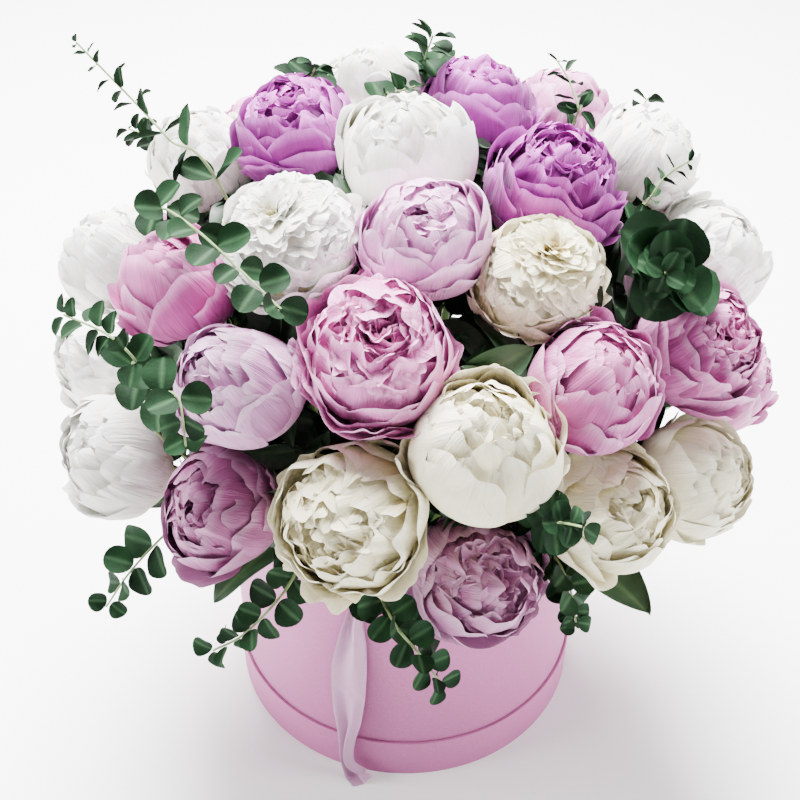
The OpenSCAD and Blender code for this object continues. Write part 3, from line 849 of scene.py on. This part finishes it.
def hanging_tail():
    """A tail that hangs at the front: its grid of points, UVs, and the length run down its centre line."""
    table = np.array(TAIL, float)
    points = np.stack([table[:, 3], -table[:, 0], table[:, 1]], 1) * MM
    centre_line, run = smooth_path(points, 2 * MM)
    where = np.array([np.argmin(np.linalg.norm(centre_line - point, axis=1)) for point in points])
    wide = np.interp(np.arange(len(run)), where, table[:, 2]) * MM
    twist = np.radians(np.interp(np.arange(len(run)), where, table[:, 4]))
    d = unit(np.gradient(centre_line, axis=0))
    across = unit(np.cross(d, FRONT + 0.3 * UP))
    face = np.cross(across, d)
    side = np.cos(twist)[:, None] * across + np.sin(twist)[:, None] * face
    out = np.cross(side, d)
    out = np.where((out @ FRONT)[:, None] < -0.5, -out, out)
    u = np.linspace(-1, 1, 29)
    # The width that does not show is taken up in folds
    spare = np.sqrt(np.maximum(WIDTH**2 - wide**2, 0))
    gathers = 0.16 * spare[:, None] * np.cos(u[None] * math.pi * 1.6 + 1.1 + run[:, None] * 6)
    folds = gathers + 0.05 * wide[:, None] * np.cos(u[None] * 2.2 + run[:, None] * 20)
    aside = u[None] * wide[:, None] / 2
    co = centre_line[:, None] + aside[..., None] * side[:, None] + folds[..., None] * out[:, None]
    co[..., 2] = np.maximum(co[..., 2], FLOOR_GAP)
    uv = np.stack(np.broadcast_arrays(u[None], run[:, None] / (WIDTH / 2)), -1) * 0.5
    return co, uv, run


def knot_line():
    """The path of the knot in front of the front eyelet, a ring wound twice about itself."""
    t = np.linspace(0, 2 * math.pi, 40)
    pulse = 1 + 0.25 * np.cos(3 * t)
    x, z = KNOT_SIZE * np.cos(2 * t) * pulse, KNOT_HEIGHT + KNOT_SIZE * np.sin(2 * t) * pulse
    return np.stack([x, -KNOT_OUT + 1.6 * np.sin(3 * t), z], 1) * MM


def turned(co, turn):
    """Points turned by degrees about the box's axis."""
    c, s = math.cos(math.radians(turn)), math.sin(math.radians(turn))
    return np.stack([co[..., 0] * c - co[..., 1] * s, co[..., 0] * s + co[..., 1] * c, co[..., 2]], -1)


satin = satin_material("satin", "#b98bac", "#a47496")
co, uv, run = hanging_tail()
cord = knot_line()
for name, turn in (("ribbon_front", -14), ("ribbon_back", 166)):
    soup, knot = Soup(), Soup()
    soup.grids(turned(co, turn)[None], WHITE, uv[None])
    tail = soup.build(name + "_satin", satin, "ribbon", body="box", replaces=[name])
    tube(knot, turned(cord, turn), np.full(len(cord), 1.5 * MM), WHITE, 10)
    bead = knot.build(name + "_knot", satin, "ribbon", body="box")


# ---- CAD nodes that stay, with their materials ----
box_paper = paper_material("box_paper", "#a9548b", "#9f4b81")
lid_paper = paper_material("lid_paper", "#b25a92", "#a85088")
MATERIALS = {
    "lid_band": lid_paper, "lid_panel": lid_paper, "box_wall": box_paper, "box_base": box_paper,
    "ribbon_eyelets": metal_material("eyelet_metal"), "liner": film_material("liner_film"),
    "foam": foam_material("floral_foam"),
}
for node, material in MATERIALS.items():
    obj = nodes[node]
    obj.data.materials.clear()
    obj.data.materials.append(material)


# ---- Floor, light, world ----
FAR = 6.0  # metres from the origin to the floor's edge
floor = bpy.data.meshes.new("floor")
floor.from_pydata([(-FAR, -FAR, 0), (FAR, -FAR, 0), (FAR, FAR, 0), (-FAR, FAR, 0)], [], [(0, 1, 2, 3)])
floor_obj = bpy.data.objects.new("floor", floor)
bpy.context.scene.collection.objects.link(floor_obj)
floor_skin = Nodes("floor")
floor_skin.set(Base_Color=rgb("#fafafa"), Roughness=0.9, Specular_IOR_Level=0.1)
floor.materials.append(floor_skin.material)


def area_light(name, at, aim, size, power):
    """A square soft light at a place, aimed at a point, with its size in metres and power in watts."""
    light = bpy.data.lights.new(name, "AREA")
    light.size, light.energy = size, power
    obj = bpy.data.objects.new(name, light)
    obj.location = at
    obj.rotation_euler = (Vector(aim) - Vector(at)).to_track_quat("-Z", "Y").to_euler()
    bpy.context.scene.collection.objects.link(obj)


area_light("top", (-0.2, 0.9, 2.1), (0, 0, 0.3), 1.2, 530)
area_light("left", (-1.9, -0.4, 0.8), (0, 0, 0.15), 1.0, 58)
area_light("right", (1.9, -0.4, 0.8), (0, 0, 0.15), 1.0, 58)
world = bpy.data.worlds.new("world")
bpy.context.scene.world = world
world.use_nodes = True
world.node_tree.nodes["Background"].inputs["Color"].default_value = (1, 1, 1, 1)
world.node_tree.nodes["Background"].inputs["Strength"].default_value = 0.44
